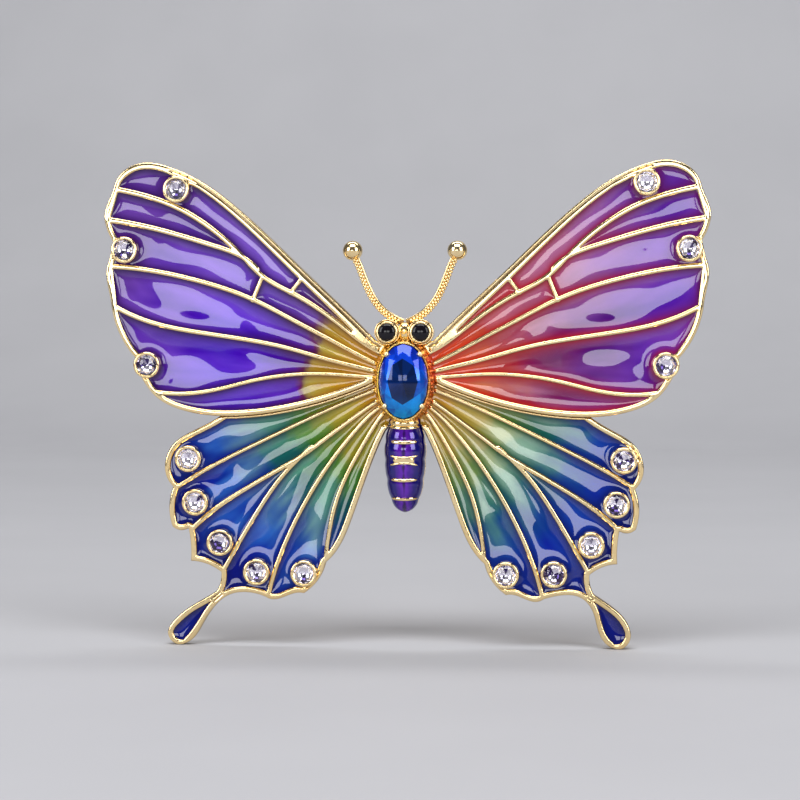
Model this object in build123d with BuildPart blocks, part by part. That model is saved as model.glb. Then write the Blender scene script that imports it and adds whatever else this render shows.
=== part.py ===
"""Butterfly brooch: four cast and enamelled wings round a jewelled body, with a locking bar pin behind.

The brooch stands upright as it is worn: +Z is up, +X is to the right of a person who faces it, and the
front looks along -Y. The origin is the centre of the pin bar's rear face, which lies against the garment.
Every height below is a distance in front of that face, so a height h lies at y = -h. All sizes are in mm.
"""

from build123d import *

import os
from math import cos, hypot, pi, radians, sin

# Driving dimensions of the wings
WING_BACK = 0.7            # height of every casting's back, which lies on the pin bar
HINDWING_FLOOR = 1.3       # floor of the hindwing's enamel cells
HINDWING_TOP = 2.0         # top of the hindwing's veins
FOREWING_FLOOR = 1.6
FOREWING_TOP = 2.4
ENAMEL_DROP = 0.2          # how far the enamel lies below the top of the veins
RIM = 1.2                  # width of the rim strip, whose outer half lies outside the wing
SEAM_RIM = 0.6             # the hindwing's strip along the forewing's lower edge
LEADING_RIM = 2.1          # the forewing's leading edge is a heavier strip
LONG_STRETCH = 6           # a rim strip with more points than this is drawn in two halves
SMALLEST_CELL = 0.4        # cells under this area, in mm2, are left as solid metal
ROOT_Z = -1.5              # the wings' common root lies this far below the pin bar's centre

# The two hindwings differ a little, as castings finished by hand do. On each side the outer lobes and the
# tail's tip lie this far out of the drawn margin, and the shift grows to its full size over a short reach.
LOBE_SHIFT = {-1: 0.5, 1: 0.0}
TAIL_SHIFT = {-1: 0.7, 1: -0.8}
LOBE_START = 17.5
TAIL_START = -22.0
SHIFT_REACH = 4.0

# Driving dimensions of the stones. A cut is (crown, pavilion, table's share, culet's share).
CRYSTAL_R = 1.0            # a 2 mm chaton
CRYSTAL_CUT = (0.42, 0.85, 0.58, 0.12)
SEAT_SLACK = 0.02          # room round a stone
BEZEL_R = 1.34
BEZEL_RISE = 0.9           # a bezel's lip stands this far above the veins
GIRDLE_DROP = 0.14         # a crystal's girdle lies this far below the lip
OVAL_X, OVAL_Z = 2.45, 3.7           # half axes of the oval stone
OVAL_CENTRE_Z = -0.65                # from the wing root
OVAL_GIRDLE = 3.9                    # height of its girdle
OVAL_CUT = (0.95, 1.9, 0.6, 0.16)
FACETS_ROUND = 16          # facets round a stone's girdle

# Driving dimensions of the body
THORAX_X, THORAX_Z = 3.05, 4.3       # half axes of the thorax
THORAX_TOP = 2.4
GALLERY_WALL = 0.35
GALLERY_DROP = 0.1         # the gallery's lip lies this far below the oval stone's girdle
PRONG_R = 0.33
PRONG_RISE = 0.45          # a prong's tip stands this far above the girdle
PRONG_ANGLES = (38, 142, 218, 322)   # places round the oval stone, in degrees
EYE_X, EYE_Z = 1.68, 4.25
EYE_CUP_R = 1.28
EYE_CUP_TOP = 3.5
EYE_R = 0.86
EYE_DEPTH = 0.7
EYE_RISE = 0.3             # how far the eye's dome stands above its cup
HEAD_TOP = 2.6
HEAD_WIDTH, HEAD_LOW, HEAD_HIGH = 2.0, 3.3, 5.3
ANTENNA_R = 0.42
ANTENNA_BALL_R = 1.0
ANTENNA_HEIGHT = 1.7
ANTENNA_BEND = 1.6         # radius of the bends in an antenna
ABDOMEN_AXIS = 1.4         # height of the abdomen's axis
ABDOMEN_ENAMEL = 0.4       # depth of the enamel between the gold bands
BAND_REACH = 1.35          # the bands stop this far from the middle

# Driving dimensions of the pin, which lies along X. Its hinge is at -X and its catch at +X.
BAR_LENGTH, BAR_WIDTH = 25.0, 3.2
PIN_AXIS = 2.9             # the pin's axis lies this far behind the bar's rear face
HINGE_X = -11.1
RIVET_R = 0.4
RIVET_SLACK = 0.05
RIVET_HEAD_R, RIVET_HEAD = 0.65, 0.25
EAR_R = 1.2
EAR_GAP, EAR_THICKNESS = 1.5, 0.6
EYELET_R, EYELET_WIDTH = 1.0, 1.4
HINGE_FLOOR = 0.35         # the floor between the ears stands this far behind the bar's rear face
STEM_R, STEM_NECK_R, STEM_TIP_R = 0.4, 0.65, 0.08
STEM_NECK_X = -9.2                             # where the neck by the eyelet ends
STEM_TAPER_X, STEM_END_X = 8.6, 13.7           # where the point begins and ends
CATCH_LENGTH = 2.8
CATCH_R, CATCH_BORE_R = 1.6, 1.1
CATCH_MOUTH = 1.1          # the opening that the stem comes in by
GROOVE_R, GROOVE = 1.32, 0.6                   # the groove inside the catch, for the rotor's rib
ROTOR_SLACK = 0.05
ROTOR_BORE_R, ROTOR_SLOT = 0.5, 1.0
ROTOR_RIB_R, ROTOR_RIB = 1.25, 0.45
FLANGE_R, FLANGE, FLANGE_GAP = 1.5, 0.5, 0.1
LEVER_REACH, LEVER_WIDTH = 2.7, 1.1

# The right-hand wings, from the root: x outwards and z up. Each stretch of a margin runs to a corner.
FOREWING_MARGIN = [
    [(2.9, 3.4), (6.0, 6.5), (10.0, 10.3), (14.0, 14.15), (17.5, 17.25), (20.5, 19.4), (23.5, 20.8),
     (26.3, 21.3), (28.2, 20.6), (29.4, 18.8)],
    [(29.4, 18.8), (29.85, 17.3), (30.35, 15.6)],
    [(30.35, 15.6), (30.1, 14.6), (29.5, 13.4)],
    [(29.5, 13.4), (29.75, 12.1), (30.1, 10.9)],
    [(30.1, 10.9), (29.9, 9.0), (29.7, 7.15)],
    [(29.7, 7.15), (29.2, 4.9), (28.4, 3.2), (27.3, 1.7)],
    [(27.3, 1.7), (26.95, 0.4), (25.8, -1.6)],
    [(25.8, -1.6), (24.6, -2.7), (22.4, -3.65), (18.8, -4.2), (14.2, -3.95), (10.2, -3.2), (6.2, -2.0),
     (3.0, -0.7)],
]
FOREWING_ROOT = [(3.0, -0.7), (0.6, -0.9), (0.6, 2.9), (2.9, 3.4)]
HINDWING_MARGIN = [
    [(17.0, -2.6), (18.8, -4.4), (21.0, -5.7), (23.1, -7.2), (23.85, -9.2), (23.0, -11.4)],
    [(23.0, -11.4), (23.4, -13.1), (23.1, -15.4)],
    [(23.1, -15.4), (22.3, -15.8), (21.45, -15.6)],
    [(21.45, -15.6), (21.25, -17.2), (21.25, -18.9)],
    [(21.25, -18.9), (19.8, -19.2), (18.5, -20.0)],
    [(18.5, -20.0), (18.55, -20.9), (18.9, -21.9)],
    [(18.9, -21.9), (21.0, -23.2), (22.9, -24.9), (23.4, -26.3), (22.6, -27.35), (21.2, -27.1),
     (20.0, -25.4), (19.05, -23.5), (17.7, -22.3), (15.9, -22.05), (14.0, -22.5)],
    [(14.0, -22.5), (13.2, -22.75), (11.7, -22.3), (10.2, -22.1)],
    [(10.2, -22.1), (8.9, -20.9), (8.0, -19.0)],
    [(8.0, -19.0), (6.8, -17.6), (5.3, -14.3), (3.5, -9.3), (1.9, -5.6)],
]
HINDWING_ROOT = [(1.9, -5.6), (0.6, -4.4), (0.6, -0.4), (17.0, -2.6)]

# Veins as ((points from the root outwards), width at the root, width at the margin)
FOREWING_VEINS = [
    ([(2.0, 2.0), (3.2, 2.6), (7.2, 5.55), (11.2, 8.1), (14.2, 9.8), (15.7, 11.2), (17.6, 13.1),
      (19.8, 14.9), (23.0, 16.8), (26.0, 17.9), (29.6, 18.7)], 0.48, 0.6),
    ([(14.8, 10.6), (15.7, 11.4), (19.5, 13.0), (23.3, 14.15), (27.0, 15.05), (30.4, 15.6)], 0.48, 0.62),
    ([(2.0, 0.7), (3.2, 1.25), (7.7, 3.6), (11.7, 5.7), (14.8, 7.3), (17.8, 8.5), (22.0, 9.7),
      (26.0, 10.5), (30.3, 10.9)], 0.42, 0.56),
    ([(2.0, 0.1), (3.2, 0.4), (7.9, 1.55), (12.0, 2.7), (17.0, 3.65), (21.0, 4.25), (25.0, 5.05),
      (27.8, 6.05), (29.9, 7.2)], 0.42, 0.54),
    ([(2.0, -0.3), (3.4, -0.25), (8.0, 0.05), (12.0, -0.1), (16.0, -0.8), (19.3, -1.6), (22.8, -1.97),
      (26.0, -1.6)], 0.36, 0.48),
    ([(10.2, 9.8), (10.9, 8.9), (11.5, 8.15)], 0.45, 0.45),
    ([(14.3, 9.8), (14.85, 8.5), (15.3, 7.4)], 0.45, 0.45),
]
HINDWING_VEINS = [
    ([(2.0, -1.2), (5.0, -2.35), (9.5, -4.35), (14.2, -6.6), (19.0, -9.0), (23.2, -11.5)], 0.4, 0.48),
    ([(2.0, -2.2), (3.2, -2.95), (5.5, -4.6), (8.2, -6.6), (10.0, -7.95), (11.9, -9.1), (15.0, -10.9),
      (18.5, -13.1), (21.6, -15.7)], 0.46, 0.54),
    ([(9.4, -7.3), (10.4, -8.2), (11.9, -9.7), (13.7, -12.0), (15.3, -14.5), (16.9, -17.2),
      (18.6, -20.2)], 0.46, 0.5),
    ([(2.0, -2.9), (3.3, -3.9), (5.1, -5.8), (7.4, -8.7), (9.6, -12.1), (11.6, -15.9), (12.9, -19.1),
      (13.9, -22.6)], 0.42, 0.5),
    ([(1.8, -3.4), (2.9, -4.9), (4.0, -6.7), (5.5, -9.4), (6.9, -12.7), (7.6, -15.6), (8.05, -19.2)],
     0.42, 0.46),
]

# The crystals, from the root. The one at a forewing's tip is set by hand and differs from side to side.
FOREWING_TIP_STONE = {-1: (22.9, 18.55), 1: (24.0, 19.05)}
FOREWING_STONES = [(28.2, 12.5), (25.95, 0.95)]
HINDWING_STONES = [(21.85, -8.5), (21.15, -12.9), (18.65, -16.95), (14.95, -19.9), (10.15, -20.0)]

# The right-hand antenna from the head to its ball, and the abdomen's half widths down to its tip
ANTENNA_LINE = [(0.25, 5.2), (1.9, 5.95), (3.25, 7.55), (4.05, 9.3), (4.9, 11.7)]
ANTENNA_BALL = (5.25, 12.4)
ABDOMEN_PROFILE = [(1.5, -4.4), (1.72, -5.3), (1.98, -6.3), (2.1, -7.8), (1.92, -10.3), (1.5, -12.4),
                   (0.75, -13.6), (0, -13.9)]

# The abdomen's gold bands as (middle, height)
ABDOMEN_BANDS = [(-5.25, 0.34), (-6.72, 0.26), (-8.55, 0.7), (-10.53, 0.26), (-12.45, 0.26)]

os.makedirs("parts", exist_ok=True)


def save(part, label):
    """Names a finished piece and writes it as its own file."""
    part.label = label
    export_step(part, f"parts/{label}.step")


def level(height):
    """A drawing plane at a height in front of the garment face, with its origin at the wing root."""
    return Plane(origin=(0, -height, ROOT_Z), x_dir=(1, 0, 0), z_dir=(0, -1, 0))


def mirrored(points):
    """Points of the right-hand half, moved to the left."""
    return [(-x, z) for x, z in points]


def on_side(part, side):
    """A part of the right-hand half, mirrored to the left where side is -1."""
    return part if side > 0 else mirror(part, about=Plane.YZ, mode=Mode.PRIVATE)


def strip_edges(points, first_width, last_width):
    """The two edges of a strip that follows points, with its width changing evenly from end to end."""
    left, right = [], []
    last = len(points) - 1
    for i, (x, z) in enumerate(points):
        (x0, z0), (x1, z1) = points[max(i - 1, 0)], points[min(i + 1, last)]
        run = hypot(x1 - x0, z1 - z0)
        half = (first_width + (last_width - first_width) * i / last) / 2
        nx, nz = -(z1 - z0) / run * half, (x1 - x0) / run * half
        left.append((x + nx, z + nz))
        right.append((x - nx, z - nz))
    return left, right


def strip(points, first_width, last_width):
    """The strip that follows points, rounded at both ends."""
    left, right = strip_edges(points, first_width, last_width)
    with BuildSketch() as band:
        with BuildLine():
            Spline(*left)
            Line(left[-1], right[-1])
            Spline(*reversed(right))
            Line(right[0], left[0])
        make_face()
        with Locations(points[0]):
            Circle(first_width / 2)
        with Locations(points[-1]):
            Circle(last_width / 2)
    return band.sketch


def rim_strips(margin, first_width, last_width):
    """The strips that make a margin's rim. A long stretch is drawn in two halves."""
    strips = []
    for stretch in margin:
        middle = len(stretch) // 2 if len(stretch) > LONG_STRETCH else 0
        mean_width = (first_width + last_width) / 2
        if middle:
            strips.append((stretch[:middle + 1], first_width, mean_width))
            strips.append((stretch[middle:], mean_width, last_width))
        else:
            strips.append((stretch, first_width, last_width))
    return strips


def hindwing_margin(side):
    """The hindwing's margin on one side, with its lobes and tail shifted."""
    margin = []
    for stretch in HINDWING_MARGIN:
        shifted = []
        for x, z in stretch:
            lobe = min(max((x - LOBE_START) / SHIFT_REACH, 0), 1) if z > TAIL_START else 0
            tail = min(max((TAIL_START - z) / SHIFT_REACH, 0), 1)
            shifted.append((x + LOBE_SHIFT[side] * lobe + TAIL_SHIFT[side] * tail, z))
        margin.append(shifted)
    return margin


def thorax_outline():
    """The thorax, an ellipse round the oval stone."""
    with BuildSketch() as outline:
        with Locations((0, OVAL_CENTRE_Z)):
            Ellipse(THORAX_X, THORAX_Z)
    return outline.sketch


def head_outline():
    """The two eye cups and the bridge between them, down to the thorax."""
    with BuildSketch() as outline:
        with Locations((-EYE_X, EYE_Z), (EYE_X, EYE_Z)):
            Circle(EYE_CUP_R)
        with Locations((0, (HEAD_LOW + HEAD_HIGH) / 2)):
            Rectangle(HEAD_WIDTH, HEAD_HIGH - HEAD_LOW)
        add(thorax_outline(), mode=Mode.SUBTRACT)
    return outline.sketch


def abdomen_outline():
    """The abdomen as seen from the front."""
    with BuildSketch() as outline:
        with BuildLine():
            Spline(*ABDOMEN_PROFILE)
            Spline(*mirrored(ABDOMEN_PROFILE))
            Line(ABDOMEN_PROFILE[0], mirrored(ABDOMEN_PROFILE)[0])
        make_face()
    return outline.sketch


def wing_outline(margin, root):
    """A wing's outline: its margin's stretches, closed by straight lines at the root."""
    with BuildSketch() as outline:
        with BuildLine():
            for stretch in margin:
                Spline(*stretch)
            Polyline(*root)
        make_face()
    return outline.sketch


def cut_back(outline, *neighbours):
    """An outline cut back to the edges of its neighbours."""
    with BuildSketch() as trimmed:
        add(outline)
        for neighbour in neighbours:
            add(neighbour, mode=Mode.SUBTRACT)
    return trimmed.sketch


def wing_cells(outline, strips, stones):
    """The enamel cells: what the rim, the veins and the bezels leave of a wing's outline."""
    with BuildSketch() as cells:
        add(outline)
        for points, first_width, last_width in strips:
            add(strip(points, first_width, last_width), mode=Mode.SUBTRACT)
        with Locations(*stones):
            Circle(BEZEL_R, mode=Mode.SUBTRACT)
    return [face for face in cells.sketch.faces() if face.area > SMALLEST_CELL]


def facet_ring(half_x, half_z):
    """A ring of facet corners on an ellipse."""
    angles = [2 * pi * i / FACETS_ROUND for i in range(FACETS_ROUND)]
    Polygon(*[(half_x * cos(angle), half_z * sin(angle)) for angle in angles], align=None)


def faceted_stone(x, z, half_x, half_z, girdle, cut, slack=0.0):
    """A faceted stone with its table forwards. With slack it is the seat that the stone lies in."""
    crown, pavilion, table, culet = cut
    sections = [(girdle - pavilion, culet), (girdle, 1.0), (girdle + crown, table)]
    with BuildPart() as stone:
        for (low, low_share), (high, high_share) in zip(sections, sections[1:]):
            for height, share in ((low, low_share), (high, high_share)):
                with BuildSketch(level(height)):
                    with Locations((x, z)):
                        facet_ring(half_x * share + slack, half_z * share + slack)
            loft(ruled=True)
    return stone.part


def crystal_girdle(wing_top):
    """The height of a crystal's girdle on a wing whose veins reach wing_top."""
    return wing_top + BEZEL_RISE - GIRDLE_DROP


def wing_frame(outline, cells, stones, floor, top):
    """The casting: a plate with raised rim and veins, and a bezel with a seat for each crystal."""
    girdle = crystal_girdle(top)
    with BuildPart() as frame:
        with BuildSketch(level(WING_BACK)):
            add(outline)
        extrude(amount=top - WING_BACK)
        with BuildSketch(level(floor)):
            add(cells)
        extrude(amount=top - floor, mode=Mode.SUBTRACT)
        with BuildSketch(level(floor)):
            with Locations(*stones):
                Circle(BEZEL_R)
        extrude(amount=top + BEZEL_RISE - floor)
        with BuildSketch(level(girdle)):
            with Locations(*stones):
                Circle(CRYSTAL_R + SEAT_SLACK)
        extrude(amount=GIRDLE_DROP, mode=Mode.SUBTRACT)
        for x, z in stones:
            add(faceted_stone(x, z, CRYSTAL_R, CRYSTAL_R, girdle, CRYSTAL_CUT, SEAT_SLACK),
                mode=Mode.SUBTRACT)
    return frame.part


def wing_enamel(cells, floor, top):
    """The enamel: one fill for each cell."""
    with BuildPart() as enamel:
        with BuildSketch(level(floor)):
            add(cells)
        extrude(amount=top - ENAMEL_DROP - floor)
    return enamel.part


def make_wings():
    """All four wings with their enamel and crystals. Each hindwing is cut back to the forewing's edge."""
    body = (thorax_outline(), head_outline(), abdomen_outline())
    fore_rims = rim_strips(FOREWING_MARGIN[:1], LEADING_RIM, RIM) + rim_strips(FOREWING_MARGIN[1:], RIM, RIM)
    seam = rim_strips(FOREWING_MARGIN[-1:], SEAM_RIM, SEAM_RIM)
    fore_outline = wing_outline(FOREWING_MARGIN, FOREWING_ROOT)
    fore_wing = (cut_back(fore_outline, *body), fore_rims + FOREWING_VEINS, FOREWING_FLOOR, FOREWING_TOP)
    for side, name in ((-1, "left"), (1, "right")):
        hind_margin = hindwing_margin(side)
        hind_outline = wing_outline(hind_margin, HINDWING_ROOT)
        hind_strips = rim_strips(hind_margin, RIM, RIM) + seam + HINDWING_VEINS
        hind_wing = (cut_back(hind_outline, fore_outline, *body), hind_strips, HINDWING_FLOOR, HINDWING_TOP)
        fore_stones = [FOREWING_TIP_STONE[side]] + FOREWING_STONES
        wings = (("forewing", fore_stones, *fore_wing), ("hindwing", HINDWING_STONES, *hind_wing))
        for wing, stones, outline, strips, floor, top in wings:
            cells = wing_cells(outline, strips, stones)
            save(on_side(wing_frame(outline, cells, stones, floor, top), side), f"{name}_{wing}_frame")
            save(on_side(wing_enamel(cells, floor, top), side), f"{name}_{wing}_enamel")
            for number, (x, z) in enumerate(stones, 1):
                stone = faceted_stone(x, z, CRYSTAL_R, CRYSTAL_R, crystal_girdle(top), CRYSTAL_CUT)
                save(on_side(stone, side), f"{name}_{wing}_crystal_{number}")


def make_thorax():
    """The oval stone and the thorax casting round it, with the stone's gallery and four prongs."""
    stone_place = (0, OVAL_CENTRE_Z, OVAL_X, OVAL_Z, OVAL_GIRDLE, OVAL_CUT)
    save(faceted_stone(*stone_place), "oval_stone")
    prongs = []
    for angle in PRONG_ANGLES:
        prongs.append((OVAL_X * cos(radians(angle)), OVAL_CENTRE_Z + OVAL_Z * sin(radians(angle))))
    with BuildPart() as thorax_setting:
        with BuildSketch(level(WING_BACK)):
            add(thorax_outline())
        extrude(amount=THORAX_TOP - WING_BACK)
        with BuildSketch(level(THORAX_TOP)):
            with Locations((0, OVAL_CENTRE_Z)):
                Ellipse(OVAL_X + GALLERY_WALL, OVAL_Z + GALLERY_WALL)
        extrude(amount=OVAL_GIRDLE - GALLERY_DROP - THORAX_TOP)
        with BuildSketch(level(THORAX_TOP)):
            with Locations(*prongs):
                Circle(PRONG_R)
        extrude(amount=OVAL_GIRDLE + PRONG_RISE - PRONG_R - THORAX_TOP)
        for x, z in prongs:
            with Locations((x, -(OVAL_GIRDLE + PRONG_RISE - PRONG_R), z + ROOT_Z)):
                Sphere(PRONG_R)
        add(faceted_stone(*stone_place, SEAT_SLACK), mode=Mode.SUBTRACT)
    save(thorax_setting.part, "thorax_setting")


def make_antennas():
    """Two wires that curve up and outwards from the head, each with a ball at its end."""
    ball_x, ball_z = ANTENNA_BALL
    with BuildPart() as antenna:
        with BuildLine() as wire:
            FilletPolyline(*[(x, -ANTENNA_HEIGHT, z + ROOT_Z) for x, z in ANTENNA_LINE], radius=ANTENNA_BEND)
        with BuildSketch(Plane(origin=wire.line @ 0, z_dir=wire.line % 0)):
            Circle(ANTENNA_R)
        sweep()
        with Locations((ball_x, -ANTENNA_HEIGHT, ball_z + ROOT_Z)):
            Sphere(ANTENNA_BALL_R)
        split(bisect_by=Plane.YZ, keep=Keep.TOP)
    antennas = [on_side(antenna.part, -1), antenna.part]
    for part, label in zip(antennas, ("left_antenna", "right_antenna")):
        save(part, label)
    return antennas


def make_head():
    """The head casting with its eye cups, the two eye stones, and the antennas set into it."""
    antennas = make_antennas()
    eyes = [(-EYE_X, EYE_Z), (EYE_X, EYE_Z)]
    with BuildPart() as head_casting:
        with BuildSketch(level(WING_BACK)):
            add(head_outline())
        extrude(amount=HEAD_TOP - WING_BACK)
        with BuildSketch(level(HEAD_TOP)):
            with Locations(*eyes):
                Circle(EYE_CUP_R)
        extrude(amount=EYE_CUP_TOP - HEAD_TOP)
        with BuildSketch(level(EYE_CUP_TOP)):
            with Locations(*eyes):
                Circle(EYE_R + SEAT_SLACK)
        extrude(amount=-EYE_DEPTH, mode=Mode.SUBTRACT)
        with BuildSketch(level(HEAD_TOP)):
            add(thorax_outline())
        extrude(amount=EYE_CUP_TOP - HEAD_TOP, mode=Mode.SUBTRACT)
        for antenna in antennas:
            add(antenna, mode=Mode.SUBTRACT)
    save(head_casting.part, "head_casting")
    dome_r = (EYE_R ** 2 + EYE_RISE ** 2) / (2 * EYE_RISE)
    for (x, z), label in zip(eyes, ("left_eye_stone", "right_eye_stone")):
        with BuildPart() as eye_stone:
            with BuildSketch(level(EYE_CUP_TOP)):
                with Locations((x, z)):
                    Circle(EYE_R)
            extrude(amount=EYE_RISE)
            with Locations((x, -(EYE_CUP_TOP + EYE_RISE - dome_r), z + ROOT_Z)):
                Sphere(dome_r, mode=Mode.INTERSECT)
            with BuildSketch(level(EYE_CUP_TOP)):
                with Locations((x, z)):
                    Circle(EYE_R)
            extrude(amount=-EYE_DEPTH)
        save(eye_stone.part, label)


def abdomen_shape(inset):
    """The abdomen's round body, drawn in by an inset, with its back cut flat."""
    sunk = [(max(x - inset, 0), z) for x, z in ABDOMEN_PROFILE[:-1]]
    sunk.append((0, ABDOMEN_PROFILE[-1][1] + inset))
    with BuildPart() as shape:
        with BuildSketch(level(ABDOMEN_AXIS)):
            with BuildLine():
                Spline(*sunk)
                Polyline(sunk[-1], (0, sunk[0][1]), sunk[0])
            make_face()
        revolve(axis=Axis((0, -ABDOMEN_AXIS, 0), (0, 0, 1)))
        split(bisect_by=Plane.XZ.offset(WING_BACK), keep=Keep.TOP)
        with BuildSketch(level(0)):
            add(thorax_outline())
        extrude(amount=OVAL_GIRDLE, mode=Mode.SUBTRACT)
    return shape.part


def make_abdomen():
    """The abdomen: a gold core whose bands reach the surface, and enamel over the rest."""
    with BuildPart() as bands:
        for middle, height in ABDOMEN_BANDS:
            with BuildSketch(level(WING_BACK)):
                with Locations((0, middle)):
                    Rectangle(2 * BAND_REACH, height)
            extrude(amount=OVAL_GIRDLE)
        add(abdomen_shape(0), mode=Mode.INTERSECT)
    with BuildPart() as abdomen_core:
        add(abdomen_shape(ABDOMEN_ENAMEL))
        add(bands.part)
    save(abdomen_core.part, "abdomen_core")
    with BuildPart() as abdomen_enamel:
        add(abdomen_shape(0))
        add(abdomen_core.part, mode=Mode.SUBTRACT)
    save(abdomen_enamel.part, "abdomen_enamel")


def across(height):
    """A drawing plane normal to Z, at a height above the bar's centre, with +X right and +Y up."""
    return Plane.XY.offset(height)


def along(x):
    """A drawing plane normal to X, with its origin on the pin's axis, drawn in Y and Z."""
    return Plane(origin=(x, PIN_AXIS, 0), x_dir=(0, 1, 0), z_dir=(1, 0, 0))


def make_pin_back():
    """The bar behind the wings, with the hinge's two ears and the catch's housing on its rear face."""
    half = BAR_LENGTH / 2
    catch_start = half - CATCH_LENGTH
    ear_low, ear_high = EAR_GAP / 2, EAR_GAP / 2 + EAR_THICKNESS
    with BuildPart() as pin_back_bar:
        with BuildSketch(Plane.XZ):
            RectangleRounded(BAR_LENGTH, BAR_WIDTH, BAR_WIDTH / 4)
        extrude(amount=WING_BACK)
        with Locations((HINGE_X, HINGE_FLOOR / 2, 0)):
            Box(2 * EAR_R, HINGE_FLOOR, 2 * ear_high)
        for low in (ear_low, -ear_high):
            with BuildSketch(across(low)):
                with Locations((HINGE_X, PIN_AXIS / 2)):
                    Rectangle(2 * EAR_R, PIN_AXIS)
                with Locations((HINGE_X, PIN_AXIS)):
                    Circle(EAR_R)
                    Circle(RIVET_R, mode=Mode.SUBTRACT)
            extrude(amount=EAR_THICKNESS)
        with BuildSketch(along(catch_start)):
            Circle(CATCH_R)
            with Locations((-PIN_AXIS / 2, 0)):
                Rectangle(PIN_AXIS, BAR_WIDTH)
        extrude(amount=CATCH_LENGTH)
        with BuildSketch(along(catch_start)):
            Circle(CATCH_BORE_R)
            with Locations((CATCH_R, 0)):
                Rectangle(2 * CATCH_R, CATCH_MOUTH)
        extrude(amount=CATCH_LENGTH, mode=Mode.SUBTRACT)
        with BuildSketch(along(catch_start + (CATCH_LENGTH - GROOVE) / 2)):
            Circle(GROOVE_R)
        extrude(amount=GROOVE, mode=Mode.SUBTRACT)
    save(pin_back_bar.part, "pin_back_bar")


def make_pin():
    """The rivet, the stem that turns on it, and the rotor that closes the catch round the stem."""
    half = BAR_LENGTH / 2
    ear_high = EAR_GAP / 2 + EAR_THICKNESS
    rivet_stages = (
        (-ear_high - RIVET_HEAD, RIVET_HEAD_R, RIVET_HEAD),
        (-ear_high, RIVET_R, 2 * ear_high),
        (ear_high, RIVET_HEAD_R, RIVET_HEAD),
    )
    with BuildPart() as hinge_rivet:
        for start, radius, length in rivet_stages:
            with BuildSketch(across(start)):
                with Locations((HINGE_X, PIN_AXIS)):
                    Circle(radius)
            extrude(amount=length)
    save(hinge_rivet.part, "hinge_rivet")

    with BuildPart() as pin_stem:
        with BuildSketch(across(-EYELET_WIDTH / 2)):
            with Locations((HINGE_X, PIN_AXIS)):
                Circle(EYELET_R)
        extrude(amount=EYELET_WIDTH)
        with BuildSketch(Plane.XY):
            with BuildLine():
                Polyline(
                    (HINGE_X, PIN_AXIS),
                    (STEM_END_X, PIN_AXIS),
                    (STEM_END_X, PIN_AXIS + STEM_TIP_R),
                    (STEM_TAPER_X, PIN_AXIS + STEM_R),
                    (STEM_NECK_X, PIN_AXIS + STEM_R),
                    (HINGE_X, PIN_AXIS + STEM_NECK_R),
                    close=True,
                )
            make_face()
        revolve(axis=Axis((0, PIN_AXIS, 0), (1, 0, 0)))
        with BuildSketch(across(-EYELET_WIDTH / 2)):
            with Locations((HINGE_X, PIN_AXIS)):
                Circle(RIVET_R + RIVET_SLACK)
        extrude(amount=EYELET_WIDTH, mode=Mode.SUBTRACT)
    save(pin_stem.part, "pin_stem")

    barrel_start = half - CATCH_LENGTH
    rotor_stages = (
        (barrel_start, CATCH_BORE_R - ROTOR_SLACK, CATCH_LENGTH + FLANGE_GAP),
        (half - (CATCH_LENGTH + ROTOR_RIB) / 2, ROTOR_RIB_R, ROTOR_RIB),
        (half + FLANGE_GAP, FLANGE_R, FLANGE),
    )
    with BuildPart() as catch_rotor:
        for start, radius, length in rotor_stages:
            with BuildSketch(along(start)):
                Circle(radius)
            extrude(amount=length)
        with BuildSketch(along(half + FLANGE_GAP)):
            with Locations((0, -LEVER_REACH / 2)):
                Rectangle(LEVER_WIDTH, LEVER_REACH)
            with Locations((0, -LEVER_REACH)):
                Circle(LEVER_WIDTH / 2)
        extrude(amount=FLANGE)
        with BuildSketch(along(barrel_start)):
            Circle(ROTOR_BORE_R)
            with Locations((FLANGE_R, 0)):
                Rectangle(2 * FLANGE_R, ROTOR_SLOT)
        extrude(amount=CATCH_LENGTH + FLANGE_GAP + FLANGE, mode=Mode.SUBTRACT)
    save(catch_rotor.part, "catch_rotor")


make_wings()
make_thorax()
make_head()
make_abdomen()
make_pin_back()
make_pin()
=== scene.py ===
"""Looks of the butterfly brooch: polished gold ridges, glossy enamel, cut stones and beaded antennas.

Lengths in the mesh code are millimetres and become metres when an object is made. A wing is worked on as a
map seen from the front: x to the right, z up, and a height in front of the garment face, which is -y.
"""

import math

import bpy
import numpy as np
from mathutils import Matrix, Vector, kdtree
from mathutils.geometry import delaunay_2d_cdt


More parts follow.
